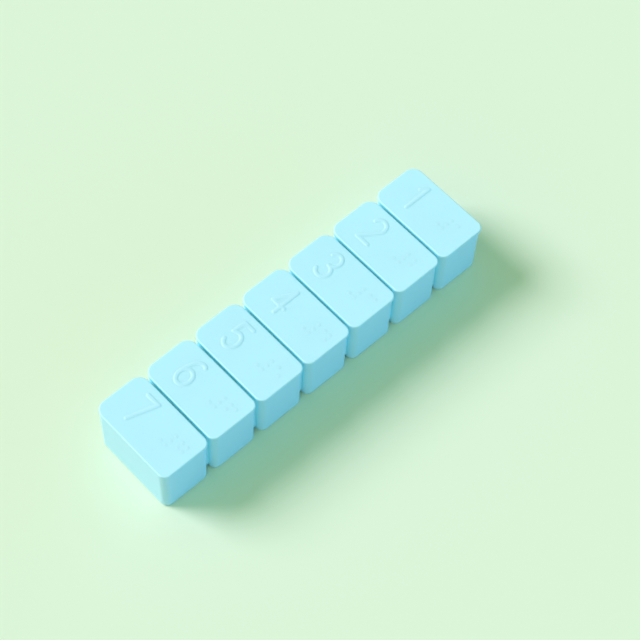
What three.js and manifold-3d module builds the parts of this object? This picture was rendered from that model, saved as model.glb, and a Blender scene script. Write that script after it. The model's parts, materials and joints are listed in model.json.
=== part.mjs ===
// Weekly pill box: one tray with seven cups in a row, and a hinged lid over each cup.
// Every lid turns on its own short steel pin, which snaps into the rounded rear edge of the tray.
// Millimetres. X runs along the row, Y points to the hinge side, Z is up, and the origin is at
// the middle of the footprint on the resting surface.
import * as THREE from 'three';
import { mergeVertices } from 'three/addons/utils/BufferGeometryUtils.js';
import Module from 'manifold-3d';

const wasm = await Module();
wasm.setup();

// Overall outline
const dayCount = 7;
const dayPitch = 22.6;
const lidDepth = 38.2;
const boxHeight = 25.2;

// Lids
const lidGap = 1.0;
const lidThickness = 1.3;
const lidSeatGap = 0.3;
const lidOverhang = 0.6;
const lidFrontCorner = 3.2;
const lidRearCorner = 4.4;
const lidEdgeRadius = 0.5;

// Rim under each lid that plugs the mouth of its cup
const rimDepth = 2.0;
const rimThickness = 1.0;
const rimClearance = 0.35;
const rimSwingClearance = 0.7;
const rimLeadIn = 0.4;

// Snap ridge on the front of the rim, and its groove in the cup wall
const snapLength = 10.0;
const snapRadius = 0.5;
const snapRise = 0.2;
const snapGrooveDepth = 0.3;
const snapGrooveClearance = 0.4;

// Tray
const cupSideInset = 0.3;
const trayWall = 1.5;
const trayFloor = 1.8;
const trayCorner = 3.2;
const trayDraft = 0.25;
const trayFootRadius = 0.8;
const scoopSide = 2.5;
const scoopEnd = 6.0;
const scoopRise = 5.0;
const bridgeFloorGap = 2.5;
const bridgeDrop = 1.5;
const bridgeTop = 2.0;
const bridgeWall = 1.4;
const notchDepth = 3.0;

// Hinges
const pinRadius = 0.8;
const pinClearance = 0.15;
const pinHold = 2.6;
const pinEndClearance = 0.3;
const pinEndChamfer = 0.2;
const socketWall = 1.05;
const socketMouth = 1.3;
const barrelLength = 9.0;
const barrelWall = 0.85;
const barrelSideGap = 0.4;
const barrelSwingGap = 0.3;
const barrelNeck = 2.0;
const hingeWall = 1.3;
const tailClearance = 0.3;
const openAngle = THREE.MathUtils.degToRad(130);
const stopMargin = THREE.MathUtils.degToRad(4);

// Every cutting body runs this far past the faces that it opens
const overrun = 1.0;

// Steps on each quarter turn of a round form
const cornerSteps = 4;
const scoopSteps = 3;
const roundSides = 16;

// Sizes that follow
const lidWidth = dayPitch - lidGap;
const cupBodyWidth = lidWidth - 2 * cupSideInset;
const trayDepth = lidDepth - 2 * lidOverhang;
const trayHeight = boxHeight - lidThickness - lidSeatGap;
const boreRadius = pinRadius + pinClearance;
const hingeEdgeRadius = boreRadius + socketWall;
const barrelRadius = boreRadius + barrelWall;
const barrelPocket = barrelRadius + barrelSwingGap;
const barrelNotchWidth = barrelLength + 2 * barrelSideGap;
const pinLength = barrelNotchWidth + 2 * pinHold;
const hingeY = trayDepth / 2 - hingeEdgeRadius;
const hingeZ = trayHeight - hingeEdgeRadius;
const lidUnderside = hingeEdgeRadius + lidSeatGap;
const lidTail = lidDepth / 2 - hingeY;

const cupWidth = cupBodyWidth - 2 * trayWall;
const cupFrontY = trayWall - trayDepth / 2;
const cupRearY = hingeY - barrelPocket - hingeWall;
const cupCorner = trayCorner - trayWall;

// The rear of the rim keeps clear of the cup wall while it swings up round the pin
const rimWidth = cupWidth - 2 * rimClearance;
const rimFrontY = cupFrontY + rimClearance;
const rimRearY = cupRearY - rimSwingClearance;
const rimCorner = cupCorner - rimClearance;
const snapHeight = lidUnderside - rimDepth / 2;

// The lid's tail swings down into a cove under the hinge edge
const coveRadius = Math.hypot(lidUnderside + lidThickness, lidTail) + tailClearance;
const tailAngle = Math.atan2(lidUnderside, lidTail);
const coveAngle = openAngle - tailAngle + stopMargin;

const plastic = new THREE.MeshStandardMaterial({ color: 0x7fd3e6, roughness: 0.38, metalness: 0 });
const lidPlastic = new THREE.MeshStandardMaterial({ color: 0x8edcec, roughness: 0.36, metalness: 0 });
const steel = new THREE.MeshStandardMaterial({ color: 0xb9bec2, roughness: 0.3, metalness: 1 });

// Closed solid of a geometry whose faces all point out
function toSolid(geometry) {
  const bare = geometry.clone();
  bare.deleteAttribute('normal');
  bare.deleteAttribute('uv');
  const merged = mergeVertices(bare);
  const vertProperties = new Float32Array(merged.attributes.position.array);
  const triVerts = new Uint32Array(merged.index.array);
  return new wasm.Manifold(new wasm.Mesh({ numProp: 3, vertProperties, triVerts }));
}

function toMesh(solid, material, name) {
  const { vertProperties, triVerts } = solid.getMesh();
  const indexed = new THREE.BufferGeometry();
  indexed.setAttribute('position', new THREE.BufferAttribute(vertProperties, 3));
  indexed.setIndex(new THREE.BufferAttribute(triVerts, 1));
  const geometry = indexed.toNonIndexed();
  geometry.computeVertexNormals();
  const mesh = new THREE.Mesh(geometry, material);
  mesh.name = name;
  return mesh;
}

// Rounded rectangle in plan, with its own radius on the front and on the rear corners
function roundedPlan(width, frontY, rearY, frontCorner, rearCorner) {
  const side = width / 2;
  const plan = new THREE.Shape();
  plan.absarc(side - frontCorner, frontY + frontCorner, frontCorner, -Math.PI / 2, 0);
  plan.absarc(side - rearCorner, rearY - rearCorner, rearCorner, 0, Math.PI / 2);
  plan.absarc(rearCorner - side, rearY - rearCorner, rearCorner, Math.PI / 2, Math.PI);
  plan.absarc(frontCorner - side, frontY + frontCorner, frontCorner, Math.PI, Math.PI * 1.5);
  return plan.getPoints(cornerSteps / 2);
}

// Loft through plans of equal point count, from the lowest level up, closed at both ends
function loft(levels) {
  const count = levels[0].plan.length;
  const positions = [];
  for (const { plan, z } of levels) {
    for (const point of plan) {
      positions.push(point.x, point.y, z);
    }
  }
  const index = [];
  for (let level = 0; level + 1 < levels.length; level++) {
    for (let i = 0; i < count; i++) {
      const a = level * count + i;
      const b = level * count + (i + 1) % count;
      index.push(a, b, b + count, a, b + count, a + count);
    }
  }
  const top = (levels.length - 1) * count;
  for (const [a, b, c] of THREE.ShapeUtils.triangulateShape(levels[0].plan, [])) {
    index.push(a, c, b, top + a, top + b, top + c);
  }
  const geometry = new THREE.BufferGeometry();
  geometry.setAttribute('position', new THREE.Float32BufferAttribute(positions, 3));
  geometry.setIndex(index);
  return toSolid(geometry);
}

// Straight prism of a YZ outline, centred on x = 0 and running along the row
function prismAlongRow(outline, length) {
  const settings = { depth: length, bevelEnabled: false, curveSegments: roundSides / 4 };
  const geometry = new THREE.ExtrudeGeometry(outline, settings);
  const outlineToYZ = new THREE.Matrix4().makeBasis(
    new THREE.Vector3(0, 1, 0),
    new THREE.Vector3(0, 0, 1),
    new THREE.Vector3(1, 0, 0),
  );
  geometry.applyMatrix4(outlineToYZ);
  geometry.translate(-length / 2, 0, 0);
  return toSolid(geometry);
}

function cylinderAlongRow(radius, length) {
  const geometry = new THREE.CylinderGeometry(radius, radius, length, roundSides);
  geometry.rotateZ(Math.PI / 2);
  return toSolid(geometry);
}

function block(xMin, xMax, yMin, yMax, zMin, zMax) {
  const geometry = new THREE.BoxGeometry(xMax - xMin, yMax - yMin, zMax - zMin);
  geometry.translate((xMin + xMax) / 2, (yMin + yMax) / 2, (zMin + zMax) / 2);
  return toSolid(geometry);
}

// The first day's cup is at the +X end of the row
function dayX(day) {
  return ((dayCount - 1) / 2 - day) * dayPitch;
}

// A copy of the solid at each of several places along the row, joined into one
function repeatAlongRow(solid, places) {
  const copies = places.map((x) => solid.translate([x, 0, 0]));
  return wasm.Manifold.union(copies);
}

// Outside of one cup: upright walls with a slight draft and a rounded foot
function cupBody() {
  const planAt = (inset) => roundedPlan(
    cupBodyWidth - 2 * inset,
    inset - trayDepth / 2,
    trayDepth / 2 - inset,
    trayCorner - inset,
    trayCorner - inset,
  );
  const levels = [];
  for (let step = 0; step <= scoopSteps; step++) {
    const turn = (step / scoopSteps) * Math.PI / 2;
    const inset = trayDraft + trayFootRadius * (1 - Math.sin(turn));
    levels.push({ plan: planAt(inset), z: trayFootRadius * (1 - Math.cos(turn)) });
  }
  levels.push({ plan: planAt(0), z: trayHeight });
  return loft(levels);
}

// Inside of one cup: its floor sweeps up into the walls, so that a fingertip slides pills out
function cupHollow() {
  const planAt = (sideInset, endInset) => roundedPlan(
    cupWidth - 2 * sideInset,
    cupFrontY + endInset,
    cupRearY - endInset,
    cupCorner,
    cupCorner,
  );
  const levels = [];
  for (let step = 0; step <= scoopSteps; step++) {
    const turn = (step / scoopSteps) * Math.PI / 2;
    const reach = 1 - Math.sin(turn);
    const plan = planAt(trayDraft + scoopSide * reach, trayDraft + scoopEnd * reach);
    levels.push({ plan, z: trayFloor + scoopRise * (1 - Math.cos(turn)) });
  }
  levels.push({ plan: planAt(0, 0), z: trayHeight });
  levels.push({ plan: planAt(0, 0), z: trayHeight + overrun });
  return loft(levels);
}

// Web that joins two neighbouring cups, cored from below so that no wall is thick
function bridge() {
  const reach = dayPitch - cupBodyWidth + 2 * trayDraft + bridgeWall;
  const frontY = notchDepth - trayDepth / 2;
  const rearY = trayDepth / 2 - notchDepth;
  const topZ = trayHeight - bridgeDrop;
  return block(-reach / 2, reach / 2, frontY, rearY, bridgeFloorGap, topZ);
}

function bridgeCore() {
  const half = (dayPitch - cupBodyWidth) / 2;
  const frontY = notchDepth + bridgeWall - trayDepth / 2;
  const rearY = hingeY - coveRadius - bridgeWall;
  const topZ = trayHeight - bridgeDrop - bridgeTop;
  return block(-half, half, frontY, rearY, -overrun, topZ);
}

// Pocket behind the cup, open from below, that leaves an even wall under the hinge cove
function rearCore() {
  const half = cupWidth / 2;
  const frontY = cupRearY + hingeWall;
  const rearY = trayDepth / 2 - trayWall - trayDraft;
  return block(-half, half, frontY, rearY, -overrun, hingeZ - coveRadius - trayWall);
}

// Everything outside the rounded hinge edge: the corner above it and the cove below it
function hingeEdgeCut() {
  const profile = new THREE.Shape();
  profile.moveTo(coveRadius, coveRadius);
  profile.lineTo(0, coveRadius);
  profile.absarc(0, 0, hingeEdgeRadius, Math.PI / 2, -coveAngle, true);
  profile.lineTo(-coveRadius * Math.tan(coveAngle - Math.PI / 2), -coveRadius);
  profile.lineTo(coveRadius, -coveRadius);
  const rowLength = dayCount * dayPitch + 2 * overrun;
  return prismAlongRow(profile, rowLength).translate([0, hingeY, hingeZ]);
}

// Sockets for the two ends of a pin, with a mouth on top that is narrower than the pin
function socketCut() {
  const halfMouth = socketMouth / 2;
  const mouthAngle = Math.acos(halfMouth / boreRadius);
  const keyhole = new THREE.Shape();
  keyhole.moveTo(halfMouth, hingeEdgeRadius + overrun);
  keyhole.lineTo(-halfMouth, hingeEdgeRadius + overrun);
  keyhole.absarc(0, 0, boreRadius, Math.PI - mouthAngle, Math.PI * 2 + mouthAngle, false);
  const length = pinLength + 2 * pinEndClearance;
  return prismAlongRow(keyhole, length).translate([0, hingeY, hingeZ]);
}

// Gap in the hinge edge in which the lid's barrel turns
function barrelNotch() {
  const half = barrelNotchWidth / 2;
  const back = hingeEdgeRadius + overrun;
  const low = -barrelPocket;
  return block(-half, half, low, back, low, back).translate([0, hingeY, hingeZ]);
}

function snapGroove() {
  const radius = snapRadius + snapGrooveClearance;
  const length = snapLength + 2 * snapGrooveClearance;
  const y = cupFrontY + radius - snapGrooveDepth;
  return cylinderAlongRow(radius, length).translate([0, y, hingeZ + snapHeight]);
}

function tray() {
  const days = [...Array(dayCount).keys()].map(dayX);
  const joins = days.slice(1).map((x) => x + dayPitch / 2);
  const outside = repeatAlongRow(cupBody(), days).add(repeatAlongRow(bridge(), joins));
  const cupCuts = cupHollow().add(snapGroove()).add(rearCore()).add(socketCut()).add(barrelNotch());
  return outside
    .subtract(repeatAlongRow(cupCuts, days))
    .subtract(repeatAlongRow(bridgeCore(), joins))
    .subtract(hingeEdgeCut());
}

// The parts of a lid are placed about its hinge axis

function lidPlate() {
  const planAt = (inset) => roundedPlan(
    lidWidth - 2 * inset,
    lidTail - lidDepth + inset,
    lidTail - inset,
    lidFrontCorner - inset,
    lidRearCorner - inset,
  );
  const levels = [{ plan: planAt(0), z: lidUnderside }];
  for (let step = 0; step <= scoopSteps; step++) {
    const turn = (step / scoopSteps) * Math.PI / 2;
    const plan = planAt(lidEdgeRadius * (1 - Math.cos(turn)));
    levels.push({ plan, z: lidUnderside + lidThickness - lidEdgeRadius * (1 - Math.sin(turn)) });
  }
  return loft(levels);
}

// Prism with the plan of the plug rim, drawn in by an inset
function rimPrism(inset, leadIn, low, high) {
  const planAt = (extra) => roundedPlan(
    rimWidth - 2 * (inset + extra),
    rimFrontY - hingeY + inset + extra,
    rimRearY - hingeY - inset - extra,
    rimCorner - inset,
    rimCorner - inset,
  );
  return loft([
    { plan: planAt(leadIn), z: low },
    { plan: planAt(0), z: low + rimLeadIn },
    { plan: planAt(0), z: high },
  ]);
}

function plugRim() {
  const low = lidUnderside - rimDepth;
  const outside = rimPrism(0, rimLeadIn / 2, low, lidUnderside + lidThickness / 2);
  const inside = rimPrism(rimThickness, 0, low - overrun, lidUnderside);
  const ridge = cylinderAlongRow(snapRadius, snapLength)
    .translate([0, rimFrontY - hingeY + snapRadius - snapRise, snapHeight]);
  return outside.add(ridge).subtract(inside);
}

// Barrel that turns on the pin, and the neck that joins it to the plate
function barrel() {
  const half = barrelLength / 2;
  const top = lidUnderside + lidThickness / 2;
  const neck = block(-half, half, -barrelNeck / 2, barrelNeck / 2, 0, top);
  return cylinderAlongRow(barrelRadius, barrelLength).add(neck);
}

function lid() {
  const bore = cylinderAlongRow(boreRadius, barrelLength + 2 * overrun);
  return lidPlate().add(plugRim()).add(barrel()).subtract(bore);
}

function hingePin() {
  const end = pinRadius - pinEndChamfer;
  const half = pinLength / 2;
  const profile = [
    new THREE.Vector2(0, -half),
    new THREE.Vector2(end, -half),
    new THREE.Vector2(pinRadius, pinEndChamfer - half),
    new THREE.Vector2(pinRadius, half - pinEndChamfer),
    new THREE.Vector2(end, half),
    new THREE.Vector2(0, half),
  ];
  const geometry = new THREE.LatheGeometry(profile, roundSides);
  geometry.rotateZ(Math.PI / 2);
  return toSolid(geometry);
}

const pillBox = new THREE.Group();
pillBox.add(toMesh(tray(), plastic, 'tray'));

const lidSolid = lid();
const pinSolid = hingePin();
for (let day = 0; day < dayCount; day++) {
  const hinge = new THREE.Group();
  hinge.position.set(dayX(day), hingeY, hingeZ);
  hinge.add(toMesh(lidSolid, lidPlastic, `lid_${day + 1}`));
  hinge.add(toMesh(pinSolid, steel, `hinge_pin_${day + 1}`));
  pillBox.add(hinge);
}

export default pillBox;
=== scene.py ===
"""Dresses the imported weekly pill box: finely rounded tray, lids and hinge pins, raised numerals and
touch dots, moulded plastic and drawn steel, on a pale mint floor in soft daylight.
"""

import json
import math

import bmesh
import bpy
from bpy.props import FloatProperty, FloatVectorProperty, IntProperty, PointerProperty
from bpy.types import Operator, Panel, PropertyGroup
from mathutils import Matrix, Vector


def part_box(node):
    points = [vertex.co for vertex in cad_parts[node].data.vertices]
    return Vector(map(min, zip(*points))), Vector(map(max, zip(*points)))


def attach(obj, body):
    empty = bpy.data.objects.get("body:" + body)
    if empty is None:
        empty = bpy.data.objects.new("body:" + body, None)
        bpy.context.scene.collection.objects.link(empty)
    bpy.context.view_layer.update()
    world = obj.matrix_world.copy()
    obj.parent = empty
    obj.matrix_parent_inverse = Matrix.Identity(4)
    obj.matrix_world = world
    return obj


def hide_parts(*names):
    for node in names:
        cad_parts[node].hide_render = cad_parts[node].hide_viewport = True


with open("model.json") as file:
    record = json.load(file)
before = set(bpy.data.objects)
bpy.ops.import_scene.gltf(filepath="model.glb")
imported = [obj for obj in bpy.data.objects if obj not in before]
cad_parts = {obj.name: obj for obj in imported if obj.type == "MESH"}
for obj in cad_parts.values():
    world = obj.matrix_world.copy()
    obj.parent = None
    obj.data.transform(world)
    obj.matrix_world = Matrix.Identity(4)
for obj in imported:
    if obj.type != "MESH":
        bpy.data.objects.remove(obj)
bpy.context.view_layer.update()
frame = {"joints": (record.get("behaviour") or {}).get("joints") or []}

bl_info = {
    "name": "Weekly Pill Box",
    "version": (1, 0, 0),
    "blender": (4, 5, 0),
    "location": "3D View > Sidebar > Pill Box",
    "description": "Builds a seven-day pill box with hinged lids, and the studio that it stands in",
    "category": "Add Mesh",
}

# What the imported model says: the box, the tray, one lid and its pin at rest, and each hinge's place
TRAY_LOW, TRAY_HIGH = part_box("tray")
LID_LOW, LID_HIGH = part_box("lid_4")
PIN_LOW, PIN_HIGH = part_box("hinge_pin_4")
HINGES = {int(joint["name"][-1]): Vector(joint["pos_m"]) for joint in frame["joints"]}
DAYS = sorted(HINGES)

# Meshes are made in millimetres and become metres when they turn into pieces
MM = 0.001

# In millimetres: corners nearer to each other than this are one corner
WELD = 0.0001

# In millimetres: how far a cutting solid runs past the face that it opens
OVERRUN = 1.0

# In millimetres from a lid's top: where a raised mark starts, and how far up its foot is upright
MARK_ROOT = -0.2
MARK_FOOT = -0.01


def setting(kind, **limits):
    """A function that makes one sort of property from its name, description and default."""

    def make(name, description, default):
        return kind(name=name, description=description, default=default, **limits)

    return make


# Lengths are in metres, angles in radians, and colours are linear
length = setting(FloatProperty, min=0.0, unit="LENGTH", precision=4)
share = setting(FloatProperty, min=0.0, max=1.0, subtype="FACTOR")
number = setting(FloatProperty, min=0.0)
angle = setting(FloatProperty, min=-math.pi, max=math.pi, subtype="ANGLE")
tint = setting(FloatVectorProperty, size=3, min=0.0, max=1.0, subtype="COLOR")
point = setting(FloatVectorProperty, size=3, subtype="TRANSLATION", unit="LENGTH")
heading = setting(FloatVectorProperty, size=3, subtype="DIRECTION")


class PillBoxTraySizes(PropertyGroup):
    """Sizes of the tray and its seven cups."""

    side_inset: length("Cup inset", "How far a cup's side stands in from its lid's side", 0.0003)
    wall: length("Wall", "Thickness of the cup walls", 0.0015)
    floor: length("Floor", "Thickness of the cup floors", 0.0018)
    corner: length("Corner", "Radius of a cup's upright corners", 0.0032)
    draft: length("Draft", "How far the walls lean in from top to bottom", 0.00025)
    foot: length("Foot radius", "Radius where the walls turn into the underside", 0.0008)
    mouth: length("Mouth radius", "Radius of the edges round a cup's mouth", 0.00025)
    scoop_side: length("Side scoop", "How far the floor curves up along the sides", 0.0025)
    scoop_end: length("End scoop", "How far the floor curves up at the ends", 0.006)
    scoop_rise: length("Scoop height", "How high the floor's curve climbs", 0.005)
    bridge_gap: length("Web clearance", "Height of the webs between cups above the table", 0.0025)
    bridge_drop: length("Web drop", "How far the webs' top is under the cups' mouths", 0.0015)
    bridge_top: length("Web top", "Thickness of the webs' top", 0.002)
    bridge_wall: length("Web wall", "Thickness of the webs' ends", 0.0014)
    notch: length("Notch depth", "Depth of the notch between two cups", 0.003)
    recess: length("Underside recess", "Depth of the hollow under each cup", 0.0004)
    recess_rim: length("Standing rim", "Width of the rim that a cup stands on", 0.0018)
    recess_rear: length("Rear of recess", "How far the hollow ends before the hinge", 0.0032)
    recess_slope: length("Recess slope", "How far the hollow's sides lean in", 0.00015)


class PillBoxLidSizes(PropertyGroup):
    """Sizes of one lid and the rim that plugs its cup."""

    thickness: length("Thickness", "Thickness of a lid's plate", 0.0013)
    seat_gap: length("Seat gap", "Gap between a lid's plate and the tray", 0.0003)
    front_corner: length("Front corner", "Radius of the two front corners", 0.0032)
    rear_corner: length("Rear corner", "Radius of the two rear corners", 0.0044)
    top_edge: length("Top edge", "Radius of the edge round the top", 0.0005)
    under_edge: length("Under edge", "Radius of the edge round the underside", 0.00015)
    rim_depth: length("Rim depth", "How far the rim reaches into the cup", 0.002)
    rim_thickness: length("Rim thickness", "Thickness of the rim", 0.001)
    rim_clearance: length("Rim clearance", "Gap between the rim and the cup", 0.00035)
    rim_swing: length("Rear clearance", "Gap behind the rim, in which it swings up", 0.0007)
    rim_lead: length("Rim lead-in", "Height of the chamfer on the rim's end", 0.0004)
    rim_lip: length("Rim lip", "Chamfer inside the rim's end", 0.00015)
    rim_fillet: length("Rim fillet", "Radius where the rim's inside meets the plate", 0.0002)
    snap_length: length("Snap length", "Length of the snap ridge on the rim", 0.01)
    snap_radius: length("Snap radius", "Radius of the snap ridge", 0.0005)
    snap_rise: length("Snap rise", "How far the ridge stands out of the rim", 0.0002)
    snap_end: length("Snap end", "Chamfer on the ends of the ridge", 0.00025)
    groove_depth: length("Groove depth", "Depth of the snap groove in the cup", 0.0003)
    groove_clearance: length("Groove clearance", "Room round the ridge in its groove", 0.0004)


class PillBoxHingeSizes(PropertyGroup):
    """Sizes of the pins, barrels and sockets."""

    bore_clearance: length("Bore clearance", "Gap round a pin in its bore", 0.00015)
    socket_wall: length("Socket wall", "Thickness of plastic round a socket", 0.00105)
    socket_mouth: length("Socket mouth", "Width of the slot that a pin snaps in by", 0.0013)
    end_clearance: length("End clearance", "Gap past each end of a pin", 0.0003)
    end_chamfer: length("End chamfer", "Chamfer on the ends of a pin", 0.0002)
    barrel_length: length("Barrel length", "Length of the barrel under a lid", 0.009)
    barrel_wall: length("Barrel wall", "Thickness of a barrel round its bore", 0.00085)
    barrel_chamfer: length("Barrel chamfer", "Chamfer on the ends of a barrel", 0.00018)
    barrel_side: length("Barrel side gap", "Gap beside each end of a barrel", 0.0004)
    barrel_swing: length("Barrel swing gap", "Gap round a barrel as it turns", 0.0003)
    neck: length("Neck", "Thickness of the web between barrel and lid", 0.002)
    neck_foot: length("Neck foot", "How far over the bore the neck starts to widen", 0.00045)
    wall: length("Hinge wall", "Wall between the cup and the hinge", 0.0013)
    tail_clearance: length("Tail clearance", "Gap that the lid's tail keeps to the cove", 0.0003)
    opening: angle("Opening", "How far a lid turns, and a margin at its stop", math.radians(134))


class PillBoxMarkSizes(PropertyGroup):
    """Sizes of the raised numerals and the touch dots on the lids."""

    height: length("Numeral height", "Height of a numeral, along the row", 0.0131)
    width: length("Numeral width", "Width of a numeral, across the row", 0.0072)
    stroke: length("Stroke", "Width of a numeral's strokes", 0.0014)
    relief: length("Relief", "How far the numerals stand up", 0.0002)
    forward: length("Numeral place", "How far behind the box's middle a numeral is", 0.0074)
    sideways: length("Numeral shift", "How far a numeral sits towards the first day", 0.0011)
    dot_radius: length("Dot radius", "Radius of a touch dot at its foot", 0.00075)
    dot_rise: length("Dot rise", "How far a touch dot stands up", 0.00006)
    dot_pitch: length("Dot pitch", "Distance between dots of one cell", 0.0025)
    cell_pitch: length("Cell pitch", "Distance between the two cells", 0.006)
    dot_forward: length("Dot place", "How far in front of the box's middle the cells are", 0.0105)


class PillBoxFinish(PropertyGroup):
    """Colours and surface of the plastic and the steel."""

    tray_colour: tint("Tray colour", "Colour of the tray's plastic", (0.467, 0.90, 0.985))
    lid_colour: tint("Lid colour", "Colour of the lids' plastic", (0.47, 0.90, 0.985))
    # Painted shade: the deeper colour painted into narrow seams and notches, and the reach of the
    # occlusion that places it
    painted_seam_shade_colour: tint("Seam colour", "Colour of the plastic deep in a seam", (0.24, 0.93, 1.0))
    seam_shade_reach: length("Seam reach", "How near the walls of a seam are to each other", 0.003)
    steel_colour: tint("Steel colour", "Colour of the hinge pins", (0.72, 0.73, 0.75))
    roughness: share("Plastic roughness", "How matt the plastic is", 0.5)
    steel_roughness: share("Steel roughness", "How matt the pins are", 0.26)
    glow: share("Inner scatter", "How much light travels inside the plastic", 0.1)
    glow_depth: length("Scatter depth", "How far light travels inside the plastic", 0.0025)
    grain: length("Grain", "Size of the mould's fine texture", 0.0004)
    grain_depth: length("Grain depth", "Depth of the mould's fine texture", 0.00001)
    flow: length("Flow marks", "Size of the soft waves left by moulding", 0.009)
    flow_depth: length("Flow depth", "Depth of the soft waves", 0.00002)
    cloud: length("Clouds", "Size of the faint changes of tone", 0.024)
    speck: length("Specks", "Size of the places in which a darker speck can lie", 0.0016)
    # Painted highlight: a paler strip along each lid's front edge, which is also glossier
    front_highlight_width: length("Wear", "Width of the strip that fingers polish on a lid's front", 0.0019)
    scratch: length("Scratches", "Distance between the scratches of drawn steel", 0.00009)
    scratch_depth: length("Scratch depth", "Depth of the scratches", 0.000006)
    stain: length("Stains", "Size of the dull places on the steel", 0.002)


class PillBoxStudio(PropertyGroup):
    """Floor, light and camera."""

    floor_colour: tint("Floor colour", "Colour of the paper floor", (0.714, 0.900, 0.655))
    floor_side: length("Floor size", "Side of the square floor", 6.0)
    bounce: share("Floor bounce", "How much light the floor throws back on the box", 0.5)
    key_colour: tint("Daylight colour", "Colour of the main light", (0.907, 0.741, 1.0))
    key_strength: number("Daylight strength", "Power of the main light", 3.33)
    key_spread: angle("Daylight spread", "How wide the main light is", math.radians(30))
    key_from: heading("Daylight direction", "Direction to the main light", (-0.438, 0.657, 0.614))
    round_colour: tint("Fill colour", "Colour of the light from all round", (0.348, 0.445, 0.243))
    front_colour: tint("Front fill", "Colour of the low light from the front", (0.07, 0.39, 1.0))
    front_strength: number("Front fill strength", "Power of the low light in front", 2.8)
    left_colour: tint("Left fill", "Colour of the low light from the left", (1.0, 0.86, 0.78))
    left_strength: number("Left fill strength", "Power of the low light on the left", 1.15)
    camera_place: point("Camera place", "Where the camera is", (-0.251857, -0.260327, 0.641382))
    camera_target: point("Camera target", "Where the camera looks", (0.005341, -0.007568, 0.0252))
    camera_roll: angle("Camera roll", "Turn about the camera's view", math.radians(3.2862))
    camera_lens: number("Lens", "Focal length in millimetres", 110.705)


class PillBoxSettings(PropertyGroup):
    """Everything that a user can change, by part."""

    tray: PointerProperty(type=PillBoxTraySizes)
    lid: PointerProperty(type=PillBoxLidSizes)
    hinge: PointerProperty(type=PillBoxHingeSizes)
    marks: PointerProperty(type=PillBoxMarkSizes)
    finish: PointerProperty(type=PillBoxFinish)
    studio: PointerProperty(type=PillBoxStudio)
    corner_steps: IntProperty(
        name="Corner steps", description="Faces on a quarter turn", default=10, min=2, max=32
    )


class Sizes:
    """One group's lengths in millimetres, under the same names."""

    def __init__(self, group):
        self.group = group

    def __getattr__(self, name):
        return getattr(self.group, name) / MM


# Closed solids, in millimetres


def mesh_of(points, faces):
    """New mesh of points and faces."""
    mesh = bpy.data.meshes.new("mesh")
    mesh.from_pydata(points, [], faces)
    return mesh


def arc(x, y, across, up, start, stop, steps=20):
    """Points on an ellipse from one angle to another, in degrees."""
    points = []
    for step in range(steps + 1):
        turn = math.radians(start + (stop - start) * step / steps)
        points.append((x + across * math.cos(turn), y + up * math.sin(turn)))
    return points


def circle(x, y, radius, sides):
    """Points of a circle."""
    return arc(x, y, radius, radius, 0, 360, sides)[:-1]


def rounded_plan(half_width, front, rear, front_corner, rear_corner, steps):
    """Points of a rounded rectangle seen from above, anticlockwise."""
    corners = (
        (half_width - front_corner, front + front_corner, front_corner, -90),
        (half_width - rear_corner, rear - rear_corner, rear_corner, 0),
        (rear_corner - half_width, rear - rear_corner, rear_corner, 90),
        (front_corner - half_width, front + front_corner, front_corner, 180),
    )
    points = []
    for x, y, radius, start in corners:
        points += arc(x, y, radius, radius, start, start + 90, steps)
    return points


def loft(*stacks):
    """Closed solids, each through a stack of rings of equal count, with a flat face at each end."""
    points, faces = [], []
    for rings in stacks:
        start, count = len(points), len(rings[0])
        points += [corner for ring in rings for corner in ring]
        faces.append(tuple(reversed(range(start, start + count))))
        for below in range(start, len(points) - count, count):
            for i in range(count):
                a, b = below + i, below + (i + 1) % count
                faces.append((a, b, b + count, a + count))
        faces.append(tuple(range(len(points) - count, len(points))))
    return mesh_of(points, faces)


def upright(levels):
    """Solid through plans at rising heights, given as (plan, height) pairs."""
    return loft([[(x, y, z) for x, y in plan] for plan, z in levels])


def along_row(outline, ends):
    """Solid that runs along the row with one outline in Y and Z, at each (x, inset) of ends."""
    rings = []
    for x, inset in ends:
        ring = inset_outline(outline, inset) if inset else outline
        rings.append([(x, y, z) for y, z in ring])
    return loft(rings)


def bar(outline, half):
    """Solid that runs along the row with one outline in Y and Z, from -half to half."""
    return along_row(outline, ((-half, 0), (half, 0)))


def inset_outline(outline, inset):
    """An outline with every corner moved inwards."""
    points = []
    for i, (y, z) in enumerate(outline):
        before = Vector(outline[i - 1])
        after = Vector(outline[(i + 1) % len(outline)])
        here = Vector((y, z))
        first = (here - before).normalized()
        second = (after - here).normalized()
        normal = Vector((-first.y - second.y, first.x + second.x)).normalized()
        sharpness = max(0.5, normal.dot(Vector((-first.y, first.x))))
        points.append(tuple(here + normal * inset / sharpness))
    return points


def rod(radius, half, y, z, sides, chamfer=0.0):
    """Round bar along the row, from -half to half, with small chamfers on its ends."""
    outline = circle(y, z, radius, sides)
    if not chamfer:
        return bar(outline, half)
    inner = half - chamfer
    return along_row(outline, ((-half, chamfer), (-inner, 0), (inner, 0), (half, chamfer)))


def block(half, y_range, z_range, corner=0.0):
    """Upright block from x = -half to half, with upright edges that can be rounded."""
    front, rear = y_range
    if corner:
        plan = rounded_plan(half, front, rear, corner, corner, steps=4)
    else:
        plan = [(half, front), (half, rear), (-half, rear), (-half, front)]
    return upright([(plan, z) for z in z_range])


def moved(mesh, x=0.0, y=0.0, z=0.0):
    """Copy of a mesh at another place."""
    copy = mesh.copy()
    copy.transform(Matrix.Translation((x, y, z)))
    return copy


def at_hinges(mesh):
    """Copies of a mesh that was made about the hinge axis, one at each day's hinge."""
    return [moved(mesh, *(HINGES[day] / MM)) for day in DAYS]


def add_object(name, data):
    """New object in the scene."""
    obj = bpy.data.objects.new(name, data)
    bpy.context.scene.collection.objects.link(obj)
    return obj


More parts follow.
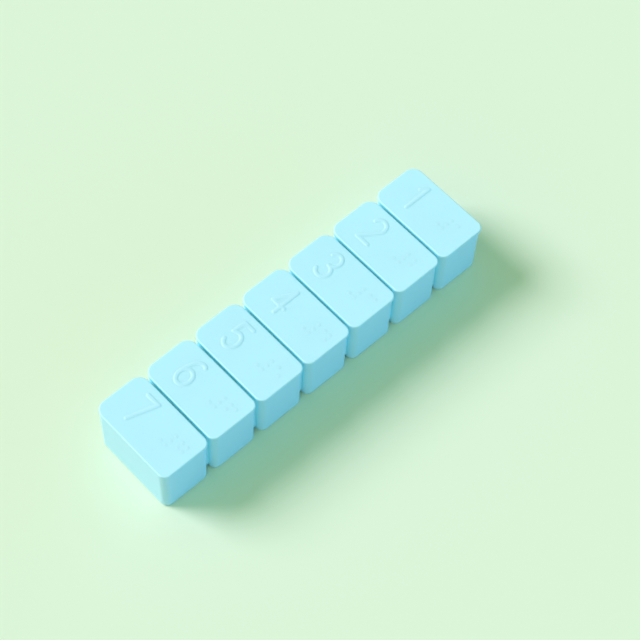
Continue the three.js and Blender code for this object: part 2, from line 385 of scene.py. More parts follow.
def combine(operation, base, *tools):
    """New mesh of closed meshes: UNION joins the tools to the base, DIFFERENCE cuts them out."""
    solids = [add_object("solid", mesh) for mesh in (base, *tools)]
    for tool in solids[1:]:
        modifier = solids[0].modifiers.new("combine", "BOOLEAN")
        modifier.operation = operation
        modifier.solver = "MANIFOLD"
        modifier.object = tool
    result = evaluated_mesh(solids[0])
    for solid in solids:
        bpy.data.objects.remove(solid)
    if not result.polygons:
        raise RuntimeError(f"{operation} of {len(tools)} solids left nothing")
    weld(result)
    return result


def weld(mesh):
    """Joins corners that a cut left closer together than the weld distance."""
    shape = bmesh.new()
    shape.from_mesh(mesh)
    bmesh.ops.remove_doubles(shape, verts=shape.verts, dist=WELD)
    shape.to_mesh(mesh)
    shape.free()


def evaluated_mesh(obj):
    """The object's mesh with its modifiers applied."""
    graph = bpy.context.evaluated_depsgraph_get()
    return bpy.data.meshes.new_from_object(obj.evaluated_get(graph))


def make_piece(name, mesh, material, body, replaced=None, sharp=30):
    """Turns a mesh in millimetres into a piece of the box that rides on a CAD body. Edges sharper
    than sharp degrees stay sharp."""
    mesh.name = name
    mesh.shade_smooth()
    mesh.set_sharp_from_angle(angle=math.radians(sharp))
    work = add_object("work", mesh)
    shading = work.modifiers.new("even shading", "WEIGHTED_NORMAL")
    shading.keep_sharp = True
    final = evaluated_mesh(work)
    bpy.data.objects.remove(work)
    final.transform(Matrix.Scale(MM, 4))
    final.materials.clear()
    final.materials.append(material)
    piece = add_object(name, final)
    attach(piece, body)
    if replaced:
        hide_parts(replaced)


def make_for_days(kind, meshes, material, replaced=None, sharp=30):
    """A piece for each day that rides on the day's lid, and can replace the day's CAD piece."""
    for day, mesh in zip(DAYS, meshes):
        cad = f"{replaced}_{day}" if replaced else None
        make_piece(f"{kind}_{day}", mesh, material, f"lid_body_{day}", cad, sharp)


# Shader nodes


class Wire:
    """One output of a node. Plain arithmetic on it adds Math nodes."""

    def __init__(self, nodes, socket):
        self.nodes = nodes
        self.socket = socket

    def other(self, name):
        """Another output of the same node."""
        return Wire(self.nodes, self.socket.node.outputs[name])

    def math(self, operation, first, second):
        """The result of a Math node on two values or wires."""
        settings = {"operation": operation}
        return self.nodes.add("ShaderNodeMath", settings, {0: first, 1: second}, "Value")

    def __add__(self, other):
        return self.math("ADD", self, other)

    def __radd__(self, other):
        return self.math("ADD", other, self)

    def __sub__(self, other):
        return self.math("SUBTRACT", self, other)

    def __rsub__(self, other):
        return self.math("SUBTRACT", other, self)

    def __mul__(self, other):
        return self.math("MULTIPLY", self, other)

    def __rmul__(self, other):
        return self.math("MULTIPLY", other, self)


class ShaderNodes:
    """Adds nodes to the empty tree of a material or a world."""

    def __init__(self, owner):
        owner.use_nodes = True
        self.tree = owner.node_tree
        self.tree.nodes.clear()

    def add(self, kind, settings, inputs, output=0):
        """A node with its settings made first, then its sockets. Returns one of its outputs."""
        node = self.tree.nodes.new(kind)
        for name, value in settings.items():
            setattr(node, name, value)
        for name, value in inputs.items():
            if isinstance(value, Wire):
                self.tree.links.new(value.socket, node.inputs[name])
            else:
                node.inputs[name].default_value = value
        return Wire(self, node.outputs[output]) if len(node.outputs) else None

    def noise(self, place, size, detail, roughness):
        """Noise from 0 to 1 whose features are about size metres wide."""
        inputs = {"Vector": place, "Scale": 1 / size, "Detail": detail, "Roughness": roughness}
        return self.add("ShaderNodeTexNoise", {}, inputs, "Fac")

    def smooth_step(self, value, low, high):
        """0 where value is at low or beyond it, and 1 where it is at high or beyond it."""
        inputs = {"Value": value, "From Min": low, "From Max": high}
        return self.add(
            "ShaderNodeMapRange", {"interpolation_type": "SMOOTHSTEP"}, inputs, "Result"
        )

    def mix_colour(self, factor, first, second):
        """Colour that goes from first to second as factor goes from 0 to 1."""
        inputs = {0: factor, 6: first, 7: second}
        return self.add("ShaderNodeMix", {"data_type": "RGBA"}, inputs, 2)

    def seen(self):
        """1 for what the camera sees, directly, in a reflection or through something clear."""
        direct = self.add("ShaderNodeLightPath", {}, {}, "Is Camera Ray")
        return direct + direct.other("Is Glossy Ray") + direct.other("Is Transmission Ray")

    def bump(self, height, depth, below=None):
        """Normal of a surface whose height runs from 0 to 1 over depth metres."""
        inputs = {"Height": height, "Distance": depth, "Strength": 1.0}
        if below:
            inputs["Normal"] = below
        return self.add("ShaderNodeBump", {}, inputs, "Normal")

    def finish_surface(self, inputs):
        """Makes a Principled shader with these inputs the surface of the material."""
        surface = self.add("ShaderNodeBsdfPrincipled", {}, inputs, "BSDF")
        self.add("ShaderNodeOutputMaterial", {}, {"Surface": surface})


def rgba(colour, factor=1.0):
    """Four values of a colour, made lighter or darker by a factor."""
    return (*[min(1.0, value * factor) for value in colour], 1.0)


def moulded_plastic(name, colour, settings, lid=False):
    """Opaque satin plastic from a finely eroded mould, with painted shade that deepens its colour
    inside narrow seams. A lid has a painted highlight, paler and glossier, along its front edge."""
    finish = settings.finish
    material = bpy.data.materials.new(name)
    nodes = ShaderNodes(material)
    place = nodes.add("ShaderNodeTexCoord", {}, {}, "Object")
    flow = nodes.noise(place, finish.flow, detail=1.5, roughness=0.4)
    cloud = nodes.noise(place, finish.cloud, detail=2.0, roughness=0.5)
    grain = nodes.noise(place, finish.grain, detail=3.0, roughness=0.6)
    specks = nodes.noise(place, finish.speck, detail=1.0, roughness=0.5)
    specks = nodes.smooth_step(specks, low=0.70, high=0.82)
    darker, lighter = rgba(colour, 0.965), rgba(colour, 1.025)
    speck_colour, front_highlight_colour = rgba(colour, 0.86), rgba(colour, 1.06)
    tone = nodes.mix_colour(cloud, darker, lighter)
    tone = nodes.mix_colour(specks * 0.12, tone, speck_colour)
    # Painted shade: occlusion tints seams, notches and the gaps between lids a deeper blue
    openness = nodes.add(
        "ShaderNodeAmbientOcclusion",
        {"only_local": not lid, "samples": 8},
        {"Distance": finish.seam_shade_reach},
        "AO",
    )
    seam = 1 - nodes.smooth_step(openness, low=0.12, high=0.7)
    roughness = finish.roughness + (grain - 0.5) * 0.16 + (flow - 0.5) * 0.06
    if lid:
        # Only the plate's sides get the painted seam shade, and only the front edge the painted
        # highlight
        across = nodes.add("ShaderNodeSeparateXYZ", {}, {"Vector": place}, "Y")
        under = LID_HIGH.z - settings.lid.thickness
        seam = seam * nodes.smooth_step(across.other("Z"), low=under, high=under + 0.0001)
    tone = nodes.mix_colour(seam, tone, rgba(finish.painted_seam_shade_colour))
    if lid:
        # Painted highlight along the lid's front edge: paler colour, and lower roughness for gloss
        behind, edge = LID_LOW.y + finish.front_highlight_width, LID_LOW.y + 0.0001
        front_highlight = nodes.smooth_step(across, low=behind, high=edge) * (0.4 + cloud)
        tone = nodes.mix_colour(front_highlight * 0.35, tone, front_highlight_colour)
        roughness = roughness - front_highlight * 0.08
    waves = nodes.bump(flow, finish.flow_depth)
    nodes.finish_surface(
        {
            "Base Color": tone,
            "Roughness": roughness,
            "IOR": 1.49,
            "Subsurface Weight": finish.glow,
            "Subsurface Radius": (0.7, 1.0, 1.0),
            "Subsurface Scale": finish.glow_depth,
            "Normal": nodes.bump(grain, finish.grain_depth, waves),
        }
    )
    return material


def lid_plastic(settings):
    """The plastic that the lids and their marks share, made on first use."""
    name = "aqua_lid_plastic"
    made = bpy.data.materials.get(name)
    return made or moulded_plastic(name, settings.finish.lid_colour, settings, lid=True)


def drawn_steel(name, finish):
    """Bright wire with fine scratches along its length."""
    material = bpy.data.materials.new(name)
    nodes = ShaderNodes(material)
    place = nodes.add("ShaderNodeTexCoord", {}, {}, "Object")
    stretched = nodes.add(
        "ShaderNodeMapping", {}, {"Vector": place, "Scale": (0.06, 1.0, 1.0)}, "Vector"
    )
    scratches = nodes.noise(stretched, finish.scratch, detail=3.0, roughness=0.65)
    stains = nodes.noise(place, finish.stain, detail=3.0, roughness=0.6)
    dull, bright = rgba(finish.steel_colour, 0.86), rgba(finish.steel_colour, 1.06)
    matt = finish.steel_roughness + (scratches - 0.5) * 0.22 + (stains - 0.5) * 0.10
    nodes.finish_surface(
        {
            "Base Color": nodes.mix_colour(stains, dull, bright),
            "Metallic": 1.0,
            "Roughness": matt,
            "Normal": nodes.bump(scratches, finish.scratch_depth),
        }
    )
    return material


# Shapes that several pieces share


class Hinge(Sizes):
    """The hinge's lengths, with its radii and places. The axis is at y, z."""

    def __init__(self, settings):
        super().__init__(settings.hinge)
        lid = Sizes(settings.lid)
        self.y, self.z = HINGES[DAYS[0]].yz / MM
        self.pin = (PIN_HIGH.z - PIN_LOW.z) / 2 / MM
        self.half_pin = (PIN_HIGH.x - PIN_LOW.x) / 2 / MM
        self.bore = self.pin + self.bore_clearance
        self.edge = self.bore + self.socket_wall
        self.barrel = self.bore + self.barrel_wall
        self.pocket = self.barrel + self.barrel_swing
        self.underside = self.edge + lid.seat_gap
        self.tail = LID_HIGH.y / MM - self.y
        reach = math.hypot(self.underside + lid.thickness, self.tail)
        self.cove = reach + self.tail_clearance
        self.cove_turn = settings.hinge.opening - math.atan2(self.underside, self.tail)


class Cup(Sizes):
    """The tray's lengths, with the outline of one cup's inside."""

    def __init__(self, settings):
        super().__init__(settings.tray)
        hinge = Hinge(settings)
        self.half_body = (LID_HIGH.x - LID_LOW.x) / 2 / MM - self.side_inset
        self.half = self.half_body - self.wall
        self.front = TRAY_LOW.y / MM + self.wall
        self.rear = hinge.y - hinge.pocket - hinge.wall
        self.inner_corner = self.corner - self.wall


def quarter(steps):
    """Pairs (1 - sine, 1 - cosine) over a quarter turn."""
    turns = [math.pi / 2 * step / steps for step in range(steps + 1)]
    return [(1 - math.sin(turn), 1 - math.cos(turn)) for turn in turns]


# Tray


def cup_body(settings):
    """Outside of one cup: slightly leaning walls, a rounded foot and a soft top edge."""
    cup = Cup(settings)
    front, rear, top = TRAY_LOW.y / MM, TRAY_HIGH.y / MM, TRAY_HIGH.z / MM

    def plan(inset):
        half, corner, steps = cup.half_body - inset, cup.corner - inset, settings.corner_steps
        return rounded_plan(half, front + inset, rear - inset, corner, corner, steps)

    levels = []
    for across, up in quarter(steps=6):
        levels.append((plan(cup.draft + cup.foot * across), cup.foot * up))
    for across, up in quarter(steps=4):
        levels.append((plan(cup.mouth * up), top - cup.mouth * across))
    return upright(levels)


def cup_hollow(settings):
    """Inside of one cup, whose floor sweeps up into the walls so that pills slide out."""
    cup = Cup(settings)
    top = TRAY_HIGH.z / MM

    def plan(side, end):
        corner, steps = cup.inner_corner, settings.corner_steps
        return rounded_plan(cup.half - side, cup.front + end, cup.rear - end, corner, corner, steps)

    levels = []
    for across, up in quarter(steps=12):
        side = cup.draft + cup.scoop_side * across
        end = cup.draft + cup.scoop_end * across
        levels.append((plan(side, end), cup.floor + cup.scoop_rise * up))
    for across, up in quarter(steps=4):
        flare = -cup.mouth * up
        levels.append((plan(flare, flare), top - cup.mouth * across))
    levels.append((plan(-cup.mouth, -cup.mouth), top + OVERRUN))
    return upright(levels)


def foot_recess(settings):
    """Shallow hollow under one cup that leaves a rim to stand on."""
    cup = Cup(settings)
    inset = cup.draft + cup.foot + cup.recess_rim
    rear = Hinge(settings).y - cup.recess_rear

    def plan(lean):
        step_in = inset + lean
        half, front = cup.half_body - step_in, TRAY_LOW.y / MM + step_in
        corner, steps = cup.corner - step_in / 2, settings.corner_steps
        return rounded_plan(half, front, rear - lean, corner, corner, steps)

    return upright([(plan(0), -OVERRUN), (plan(0), 0), (plan(cup.recess_slope), cup.recess)])


def bridge(settings, pitch):
    """Web that joins two neighbouring cups."""
    cup = Cup(settings)
    reach = pitch / 2 - cup.half_body + cup.draft + cup.bridge_wall / 2
    depth = (TRAY_LOW.y / MM + cup.notch, TRAY_HIGH.y / MM - cup.notch)
    top = TRAY_HIGH.z / MM - cup.bridge_drop
    return block(reach, depth, (cup.bridge_gap, top))


def bridge_core(settings, pitch):
    """Pocket inside a web, open from below."""
    cup = Cup(settings)
    hinge = Hinge(settings)
    front = TRAY_LOW.y / MM + cup.notch + cup.bridge_wall
    rear = hinge.y - hinge.cove - cup.bridge_wall
    top = TRAY_HIGH.z / MM - cup.bridge_drop - cup.bridge_top
    return block(pitch / 2 - cup.half_body, (front, rear), (-OVERRUN, top), corner=0.3)


def rear_core(settings):
    """Pocket behind a cup, open from below, that leaves an even wall under the cove."""
    cup = Cup(settings)
    hinge = Hinge(settings)
    rear = TRAY_HIGH.y / MM - cup.wall - cup.draft
    top = hinge.z - hinge.cove - cup.wall
    return block(cup.half, (cup.rear + hinge.wall, rear), (-OVERRUN, top), corner=0.6)


def hinge_edge_cut(settings, half_row):
    """Everything outside the rounded hinge edge: the corner above it and the cove below."""
    hinge = Hinge(settings)
    outline = [(hinge.cove, hinge.cove), (0, hinge.cove)]
    outline += arc(0, 0, hinge.edge, hinge.edge, 90, -math.degrees(hinge.cove_turn), steps=28)
    outline.append((-hinge.cove * math.tan(hinge.cove_turn - math.pi / 2), -hinge.cove))
    outline.append((hinge.cove, -hinge.cove))
    return bar([(y + hinge.y, z + hinge.z) for y, z in outline], half_row)


def socket_cut(settings):
    """Keyhole for the two ends of a pin, with a mouth on top narrower than the pin."""
    hinge = Hinge(settings)
    half_mouth = hinge.socket_mouth / 2
    top = hinge.edge + OVERRUN
    mouth_turn = math.degrees(math.acos(half_mouth / hinge.bore))
    outline = [(half_mouth, top), (-half_mouth, top)]
    outline += arc(0, 0, hinge.bore, hinge.bore, 180 - mouth_turn, 360 + mouth_turn, steps=32)
    placed = [(y + hinge.y, z + hinge.z) for y, z in outline]
    return bar(placed, hinge.half_pin + hinge.end_clearance)


def barrel_notch(settings):
    """Gap in the hinge edge in which a lid's barrel turns."""
    hinge = Hinge(settings)
    half = hinge.barrel_length / 2 + hinge.barrel_side
    y_range = (hinge.y - hinge.pocket, hinge.y + hinge.edge + OVERRUN)
    z_range = (hinge.z - hinge.pocket, hinge.z + hinge.edge + OVERRUN)
    return block(half, y_range, z_range)


def snap_groove(settings):
    """Groove in the front wall of a cup that a lid's ridge snaps into."""
    lid = Sizes(settings.lid)
    hinge = Hinge(settings)
    radius = lid.snap_radius + lid.groove_clearance
    y = Cup(settings).front + radius - lid.groove_depth
    z = hinge.z + hinge.underside - lid.rim_depth / 2
    return rod(radius, lid.snap_length / 2 + lid.groove_clearance, y, z, sides=32)


def tray_mesh(settings):
    """The whole tray: seven cups and six webs, less everything that is hollow."""
    places = [HINGES[day].x / MM for day in DAYS]
    pitch = abs(places[1] - places[0])
    joins = [(a + b) / 2 for a, b in zip(places, places[1:])]
    body, web = cup_body(settings), bridge(settings, pitch)
    solid = combine("UNION", *[moved(body, x) for x in places], *[moved(web, x) for x in joins])
    makers = (cup_hollow, snap_groove, rear_core, socket_cut, barrel_notch, foot_recess)
    tools = [maker(settings) for maker in makers]
    core = bridge_core(settings, pitch)
    return combine(
        "DIFFERENCE",
        solid,
        *[moved(tool, x) for x in places for tool in tools],
        *[moved(core, x) for x in joins],
        hinge_edge_cut(settings, pitch * (len(DAYS) + 1) / 2),
    )


# Lids. Their parts are placed about the hinge axis


def lid_plate(settings):
    """Flat plate with four rounded corners and soft edges."""
    lid = Sizes(settings.lid)
    hinge = Hinge(settings)
    half = (LID_HIGH.x - LID_LOW.x) / 2 / MM
    front, rear = LID_LOW.y / MM - hinge.y, LID_HIGH.y / MM - hinge.y
    top = hinge.underside + lid.thickness

    def plan(inset):
        corners = (lid.front_corner - inset, lid.rear_corner - inset)
        steps = settings.corner_steps
        return rounded_plan(half - inset, front + inset, rear - inset, *corners, steps)

    levels = []
    for across, up in quarter(steps=3):
        levels.append((plan(lid.under_edge * across), hinge.underside + lid.under_edge * up))
    for across, up in quarter(steps=6):
        levels.append((plan(lid.top_edge * up), top - lid.top_edge * across))
    return upright(levels)


def lid_rim(settings):
    """Rim that plugs the mouth of the cup, with the snap ridge on its front."""
    lid = Sizes(settings.lid)
    hinge = Hinge(settings)
    cup = Cup(settings)
    half = cup.half - lid.rim_clearance
    front = cup.front + lid.rim_clearance - hinge.y
    rear = cup.rear - lid.rim_swing - hinge.y
    low = hinge.underside - lid.rim_depth

    def plan(inset, lead=0.0):
        corner = cup.inner_corner - lid.rim_clearance - inset
        step_in, steps = inset + lead, settings.corner_steps
        return rounded_plan(half - step_in, front + step_in, rear - step_in, corner, corner, steps)

    lead, lip = lid.rim_lead, lid.rim_lip
    outside = [
        (plan(0, lead / 2), low),
        (plan(0, lead / 6), low + lead * 0.55),
        (plan(0), low + lead),
        (plan(0), hinge.underside + lid.thickness / 2),
    ]
    wall, fillet = lid.rim_thickness, lid.rim_fillet
    inside = [
        (plan(wall - lip), low - OVERRUN),
        (plan(wall - lip), low),
        (plan(wall), low + lip),
        (plan(wall), hinge.underside - fillet),
        (plan(wall + fillet * 0.3), hinge.underside - fillet * 0.3),
        (plan(wall + fillet), hinge.underside),
    ]
    rim = combine("DIFFERENCE", upright(outside), upright(inside))
    y = front + lid.snap_radius - lid.snap_rise
    z = hinge.underside - lid.rim_depth / 2
    ridge = rod(lid.snap_radius, lid.snap_length / 2, y, z, sides=24, chamfer=lid.snap_end)
    return combine("UNION", rim, ridge)


def lid_barrel(settings):
    """Barrel that turns on the pin, and the filleted neck that joins it to the plate."""
    lid = Sizes(settings.lid)
    hinge = Hinge(settings)
    half, half_neck = hinge.barrel_length / 2, hinge.neck / 2
    top = hinge.underside + lid.thickness / 2
    fillet = hinge.underside - hinge.bore - hinge.neck_foot
    spread = fillet * 0.7
    side = [(half_neck, 0)]
    for across, up in quarter(steps=5):
        side.append((half_neck + spread * up, hinge.underside - fillet * across))
    side.append((half_neck + spread, top))
    outline = [(-half_neck, 0), *side, *[(-y, z) for y, z in reversed(side[1:])]]
    barrel = rod(hinge.barrel, half, 0, 0, sides=40, chamfer=hinge.barrel_chamfer)
    return combine("UNION", barrel, bar(outline, half))


def gate_mark(settings):
    """Small trimmed stub under a lid, where the plastic entered the mould."""
    hinge = Hinge(settings)
    y = (LID_LOW.y / MM - hinge.y) / 2
    profile = ((0.55, -0.16), (0.7, -0.1), (0.75, 0.0), (0.75, 0.3))
    return upright([(circle(0, y, radius, sides=24), hinge.underside + z) for radius, z in profile])


def lid_mesh(settings):
    """One lid about its hinge axis."""
    hinge = Hinge(settings)
    solid = combine("UNION", lid_plate(settings), lid_rim(settings), lid_barrel(settings))
    bore = rod(hinge.bore, hinge.barrel_length, 0, 0, sides=40)
    return combine("UNION", combine("DIFFERENCE", solid, bore), gate_mark(settings))


# Hinge pins


def pin_mesh(settings):
    """Short round wire with rounded chamfers on both ends."""
    hinge = Hinge(settings)
    half, chamfer = hinge.half_pin, hinge.end_chamfer
    ends = [(-half, chamfer), (-half + chamfer * 0.3, chamfer * 0.35), (-half + chamfer, 0)]
    ends += [(-x, inset) for x, inset in reversed(ends)]
    return along_row(circle(0, 0, hinge.pin, sides=48), ends)


# Numerals and touch dots


def numeral_strokes(day):
    """Centre lines of a numeral's strokes in a frame from -1 to 1, as (points, closed)."""
    lines = {
        1: [[(-0.62, 0.60), (0.12, 1.0)], [(0.12, 1.0), (0.12, -1.0)]],
        2: [
            arc(0, 0.49, 0.97, 0.51, 165, -22) + [(0.55, 0.02), (-0.95, -1.0)],
            [(-0.95, -1.0), (0.97, -1.0)],
        ],
        3: [arc(0, 0.50, 0.88, 0.50, 155, -90, 26), arc(0, -0.50, 0.97, 0.50, 90, -155, 26)],
        4: [
            [(0.42, 1.0), (-0.98, -0.42)],
            [(-0.98, -0.42), (0.98, -0.42)],
            [(0.42, 1.0), (0.42, -1.0)],
        ],
        5: [
            [(0.85, 1.0), (-0.70, 1.0)],
            [(-0.70, 1.0), (-0.84, 0.10)],
            [(-0.84, 0.10)] + arc(0, -0.38, 0.97, 0.62, 118, -152, 28),
        ],
        6: [arc(0.02, -0.42, 0.97, 0.58, 0, 360, 40)[:-1], arc(0.42, -0.36, 1.37, 1.36, 70, 183)],
        7: [[(-0.97, 1.0), (0.97, 1.0)], [(0.97, 1.0), (-0.35, -1.0)]],
    }
    return [(line, day == 6 and i == 0) for i, line in enumerate(lines[day])]


def beside(points, closed, offset):
    """The line at a distance to the left of another."""
    out = []
    last = len(points) - 1
    for i, here in enumerate(points):
        before = points[i - 1] if closed or i else here
        after = points[(i + 1) % len(points)] if closed or i < last else here
        ahead = (Vector(after) - Vector(before)).normalized()
        out.append((here[0] - ahead.y * offset, here[1] + ahead.x * offset))
    return out


def cap(points, offset, steps=8):
    """Half circle round the end of a line, from its right side to its left."""
    end = Vector(points[-1])
    ahead = (end - Vector(points[-2])).normalized()
    start = math.degrees(math.atan2(ahead.y, ahead.x)) - 90
    return arc(end.x, end.y, offset, offset, start, start + 180, steps)[1:-1]


def stroke_levels(half_stroke, relief):
    """Half widths of a stroke at rising heights: a soft foot, a leaning side, a crowned top."""
    foot = half_stroke + 0.32
    wider = (0.24, 0.13, 0.0, -0.13, -0.26, -0.40, -0.54)
    rise_shares = (0.05, 0.20, 0.45, 0.70, 0.88, 0.97, 1.0)
    levels = [(half_stroke + by, rise * relief) for by, rise in zip(wider, rise_shares)]
    return [(foot, MARK_ROOT), (foot, MARK_FOOT), *levels]


def stroke_solid(points, levels):
    """Raised bar along a line, with round ends."""
    back = list(reversed(points))
    outlines = []
    for half, z in levels:
        right = beside(points, False, -half)
        left = list(reversed(beside(points, False, half)))
        outlines.append((right + cap(points, half) + left + cap(back, half), z))
    return upright(outlines)


def ring_solid(points, levels):
    """Raised ring along a closed line: a quad strip round its cross-section."""
    profile = [(-half, z) for half, z in levels] + [(half, z) for half, z in reversed(levels)]
    count = len(points)
    corners, faces = [], []
    for k, (offset, z) in enumerate(profile):
        corners += [(x, y, z) for x, y in beside(points, True, offset)]
        near, far = k * count, (k + 1) % len(profile) * count
        for i in range(count):
            j = (i + 1) % count
            faces.append((near + i, near + j, far + j, far + i))
    return mesh_of(corners, faces)


def numeral_mesh(day, settings):
    """A numeral that reads from the last day's end of the box, with its top towards the first."""
    marks = Sizes(settings.marks)
    half_stroke = marks.stroke / 2
    half_width, half_height = marks.width / 2 - half_stroke, marks.height / 2 - half_stroke
    levels = stroke_levels(half_stroke, marks.relief)
    solids = []
    for line, closed in numeral_strokes(day):
        points = [(x * half_width, y * half_height) for x, y in line]
        solids.append(ring_solid(points, levels) if closed else stroke_solid(points, levels))
    mesh = combine("UNION", *solids)
    mesh.transform(Matrix(((0, 1, 0, 0), (-1, 0, 0, 0), (0, 0, 1, 0), (0, 0, 0, 1))))
    place = HINGES[day] / MM
    return moved(mesh, place.x + marks.sideways, marks.forward, LID_HIGH.z / MM)


def touch_dot(x, y, marks):
    """Rings of one low dome that starts inside the lid."""
    levels = [(1.25, MARK_ROOT), (1.25, MARK_FOOT)]
    for factor, rise in ((1.08, 0.12), (0.9, 0.42), (0.6, 0.78), (0.3, 0.95)):
        levels.append((factor, rise * marks.dot_rise))
    rings = []
    for factor, z in levels:
        plan = circle(x, y, marks.dot_radius * factor, sides=20)
        rings.append([(*corner, LID_HIGH.z / MM + z) for corner in plan])
    return rings


def touch_dots_mesh(day, settings):
    """Two cells of raised touch dots: the sign for a number, then the number."""
    marks = Sizes(settings.marks)
    number_sign = (3, 4, 5, 6)
    numbers = (1,), (1, 2), (1, 4), (1, 4, 5), (1, 5), (1, 2, 4), (1, 2, 4, 5)
    place = HINGES[day] / MM
    domes = []
    for cell, dots in enumerate((number_sign, numbers[day - 1])):
        for dot in dots:
            column, row = divmod(dot - 1, 3)
            across = (cell - 0.5) * marks.cell_pitch + (column - 0.5) * marks.dot_pitch
            up = (1 - row) * marks.dot_pitch
            x = place.x + marks.sideways + up
            domes.append(touch_dot(x, -marks.dot_forward - across, marks))
    return loft(*domes)


# Operators


class Builder:
    """What every operator of the pill box does with the scene's settings."""

    bl_options = {"REGISTER", "UNDO"}

    def execute(self, context):
        self.build(context.scene.pill_box)
        return {"FINISHED"}


class PILLBOX_OT_tray(Builder, Operator):
    """Builds the tray with its seven cups"""

    bl_idname = "pillbox.tray"
    bl_label = "Make Tray"

    def build(self, settings):
        plastic = moulded_plastic("aqua_tray_plastic", settings.finish.tray_colour, settings)
        make_piece("cup_tray", tray_mesh(settings), plastic, "tray_body", "tray")


class PILLBOX_OT_lids(Builder, Operator):
    """Builds the seven hinged lids"""

    bl_idname = "pillbox.lids"
    bl_label = "Make Lids"

    def build(self, settings):
        meshes = at_hinges(lid_mesh(settings))
        make_for_days("day_lid", meshes, lid_plastic(settings), "lid")


class PILLBOX_OT_numerals(Builder, Operator):
    """Raises the numerals 1 to 7 on the lids"""

    bl_idname = "pillbox.numerals"
    bl_label = "Make Numerals"

    def build(self, settings):
        meshes = [numeral_mesh(day, settings) for day in DAYS]
        make_for_days("numeral", meshes, lid_plastic(settings), sharp=60)


class PILLBOX_OT_touch_dots(Builder, Operator):
    """Raises the touch dots in front of the numerals"""

    bl_idname = "pillbox.touch_dots"
    bl_label = "Make Touch Dots"

    def build(self, settings):
        meshes = [touch_dots_mesh(day, settings) for day in DAYS]
        make_for_days("touch_dots", meshes, lid_plastic(settings), sharp=70)


class PILLBOX_OT_pins(Builder, Operator):
    """Builds the seven steel hinge pins"""

    bl_idname = "pillbox.pins"
    bl_label = "Make Hinge Pins"

    def build(self, settings):
        steel = drawn_steel("drawn_pin_steel", settings.finish)
        meshes = at_hinges(pin_mesh(settings))
        make_for_days("steel_pin", meshes, steel, "hinge_pin")


class PILLBOX_OT_studio(Builder, Operator):
    """Lays the floor, and sets the light and the camera"""

    bl_idname = "pillbox.studio"
    bl_label = "Make Studio"

    def build(self, settings):
        bpy.context.scene.view_settings.view_transform = "Standard"
        for part in (lay_floor, set_daylight, set_fill, set_camera):
            part(settings.studio)


def lay_floor(studio):
    """Paper floor, pale and matt, with a faint tooth. It throws less light on the box than the
    camera sees."""
    material = bpy.data.materials.new("mint_paper")
    nodes = ShaderNodes(material)
    place = nodes.add("ShaderNodeTexCoord", {}, {}, "Object")
    tooth = nodes.noise(place, size=0.0009, detail=3.0, roughness=0.6)
    cloud = nodes.noise(place, size=0.05, detail=2.0, roughness=0.5)
    colour = studio.floor_colour
    tone = nodes.mix_colour(cloud, rgba(colour, 0.997), rgba(colour, 1.003))
    nodes.finish_surface(
        {
            "Base Color": nodes.mix_colour(nodes.seen(), rgba(colour, studio.bounce), tone),
            "Roughness": 0.95,
            "Specular IOR Level": 0.1,
            "Normal": nodes.bump(tooth, depth=0.000004),
        }
    )
    half = studio.floor_side / 2
    corners = [(-half, -half, 0), (half, -half, 0), (half, half, 0), (-half, half, 0)]
    mesh = mesh_of(corners, [(0, 1, 2, 3)])
    mesh.materials.append(material)
    floor = add_object("paper_floor", mesh)


def set_daylight(studio):
    """Soft daylight from behind on the left."""
    lamp = bpy.data.lights.new("daylight", "SUN")
    lamp.energy = studio.key_strength
    lamp.color = studio.key_colour
    lamp.angle = studio.key_spread
    key = add_object("daylight", lamp)
    towards = Vector(studio.key_from).normalized()
    key.location = towards
    key.rotation_mode = "QUATERNION"
    key.rotation_quaternion = (-towards).to_track_quat("-Z", "Y")


def set_fill(studio):
    """Even light from all round, with low light from the front right and the left. The camera
    and reflections see the floor's own colour there."""
    world = bpy.data.worlds.new("pale_room")
    bpy.context.scene.world = world
    nodes = ShaderNodes(world)
    direction = nodes.add("ShaderNodeTexCoord", {}, {}, "Generated")
    x = nodes.add("ShaderNodeSeparateXYZ", {}, {"Vector": direction}, "X")
    low = 1 - nodes.smooth_step(x.other("Z"), low=0.1, high=0.6)
    front = low * nodes.smooth_step(x * 0.6 - x.other("Y") * 0.8, low=0.2, high=0.8)
    left = low * nodes.smooth_step(0 - x, low=0.2, high=0.8)
    around, front, left, backdrop = [
        nodes.add(
            "ShaderNodeBackground", {}, {"Color": rgba(colour), "Strength": strength}, "Background"
        )
        for colour, strength in (
            (studio.round_colour, 1.0),
            (studio.front_colour, front * studio.front_strength),
            (studio.left_colour, left * studio.left_strength),
            (studio.floor_colour, 1.0),
        )
    ]
    fill = nodes.add("ShaderNodeAddShader", {}, {0: front, 1: left}, "Shader")
    fill = nodes.add("ShaderNodeAddShader", {}, {0: around, 1: fill}, "Shader")
    mixed = nodes.add("ShaderNodeMixShader", {}, {0: nodes.seen(), 1: fill, 2: backdrop}, "Shader")
    nodes.add("ShaderNodeOutputWorld", {}, {"Surface": mixed})


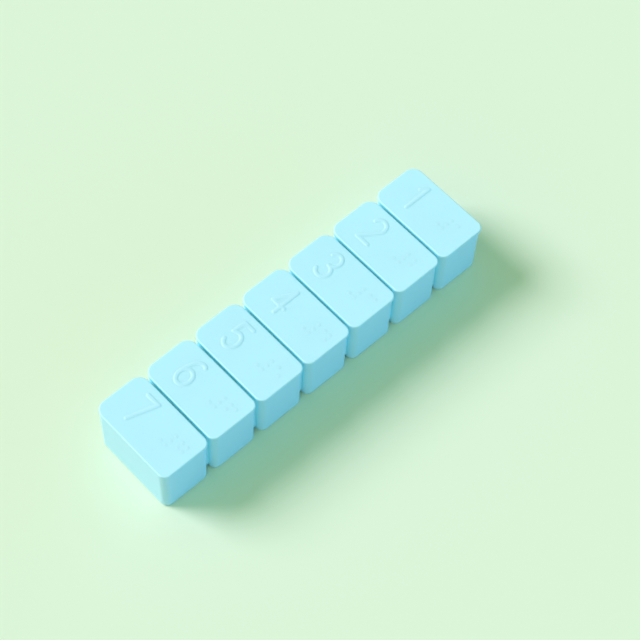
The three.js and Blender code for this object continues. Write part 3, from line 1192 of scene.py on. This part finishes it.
def set_camera(studio):
    """Long lens at the photograph's angle."""
    lens = bpy.data.cameras.new("camera")
    lens.lens = studio.camera_lens
    lens.sensor_width = 36.0
    lens.clip_start, lens.clip_end = 0.01, 50.0
    camera = add_object("camera", lens)
    place, target = Vector(studio.camera_place), Vector(studio.camera_target)
    camera.location = place
    aim = (target - place).to_track_quat("-Z", "Y")
    roll = Matrix.Rotation(studio.camera_roll, 4, "Z")
    camera.rotation_mode = "QUATERNION"
    camera.rotation_quaternion = (aim.to_matrix().to_4x4() @ roll).to_quaternion()
    bpy.context.scene.camera = camera


class PILLBOX_PT_sidebar(Panel):
    """Pill box pieces and their settings"""

    bl_idname = "PILLBOX_PT_sidebar"
    bl_label = "Pill Box"
    bl_space_type = "VIEW_3D"
    bl_region_type = "UI"
    bl_category = "Pill Box"

    def draw(self, context):
        layout = self.layout
        layout.use_property_split = True
        for operator in OPERATORS:
            layout.operator(operator.bl_idname)
        settings = context.scene.pill_box
        layout.prop(settings, "corner_steps")
        for name in ("tray", "lid", "hinge", "marks", "finish", "studio"):
            box = layout.box()
            box.label(text=name.capitalize())
            group = getattr(settings, name)
            for entry in type(group).__annotations__:
                box.prop(group, entry)


OPERATORS = (
    PILLBOX_OT_tray,
    PILLBOX_OT_lids,
    PILLBOX_OT_numerals,
    PILLBOX_OT_touch_dots,
    PILLBOX_OT_pins,
    PILLBOX_OT_studio,
)

CLASSES = (
    PillBoxTraySizes,
    PillBoxLidSizes,
    PillBoxHingeSizes,
    PillBoxMarkSizes,
    PillBoxFinish,
    PillBoxStudio,
    PillBoxSettings,
    *OPERATORS,
    PILLBOX_PT_sidebar,
)


def register():
    """Adds the pill box's settings, operators and panel to Blender."""
    for cls in CLASSES:
        bpy.utils.register_class(cls)
    bpy.types.Scene.pill_box = PointerProperty(type=PillBoxSettings)


def unregister():
    """Takes them out again."""
    del bpy.types.Scene.pill_box
    for cls in reversed(CLASSES):
        bpy.utils.unregister_class(cls)


def main():
    """Builds every piece and the studio."""
    register()
    bpy.ops.pillbox.tray()
    bpy.ops.pillbox.lids()
    bpy.ops.pillbox.numerals()
    bpy.ops.pillbox.touch_dots()
    bpy.ops.pillbox.pins()
    bpy.ops.pillbox.studio()


if __name__ == "__main__":
    main()
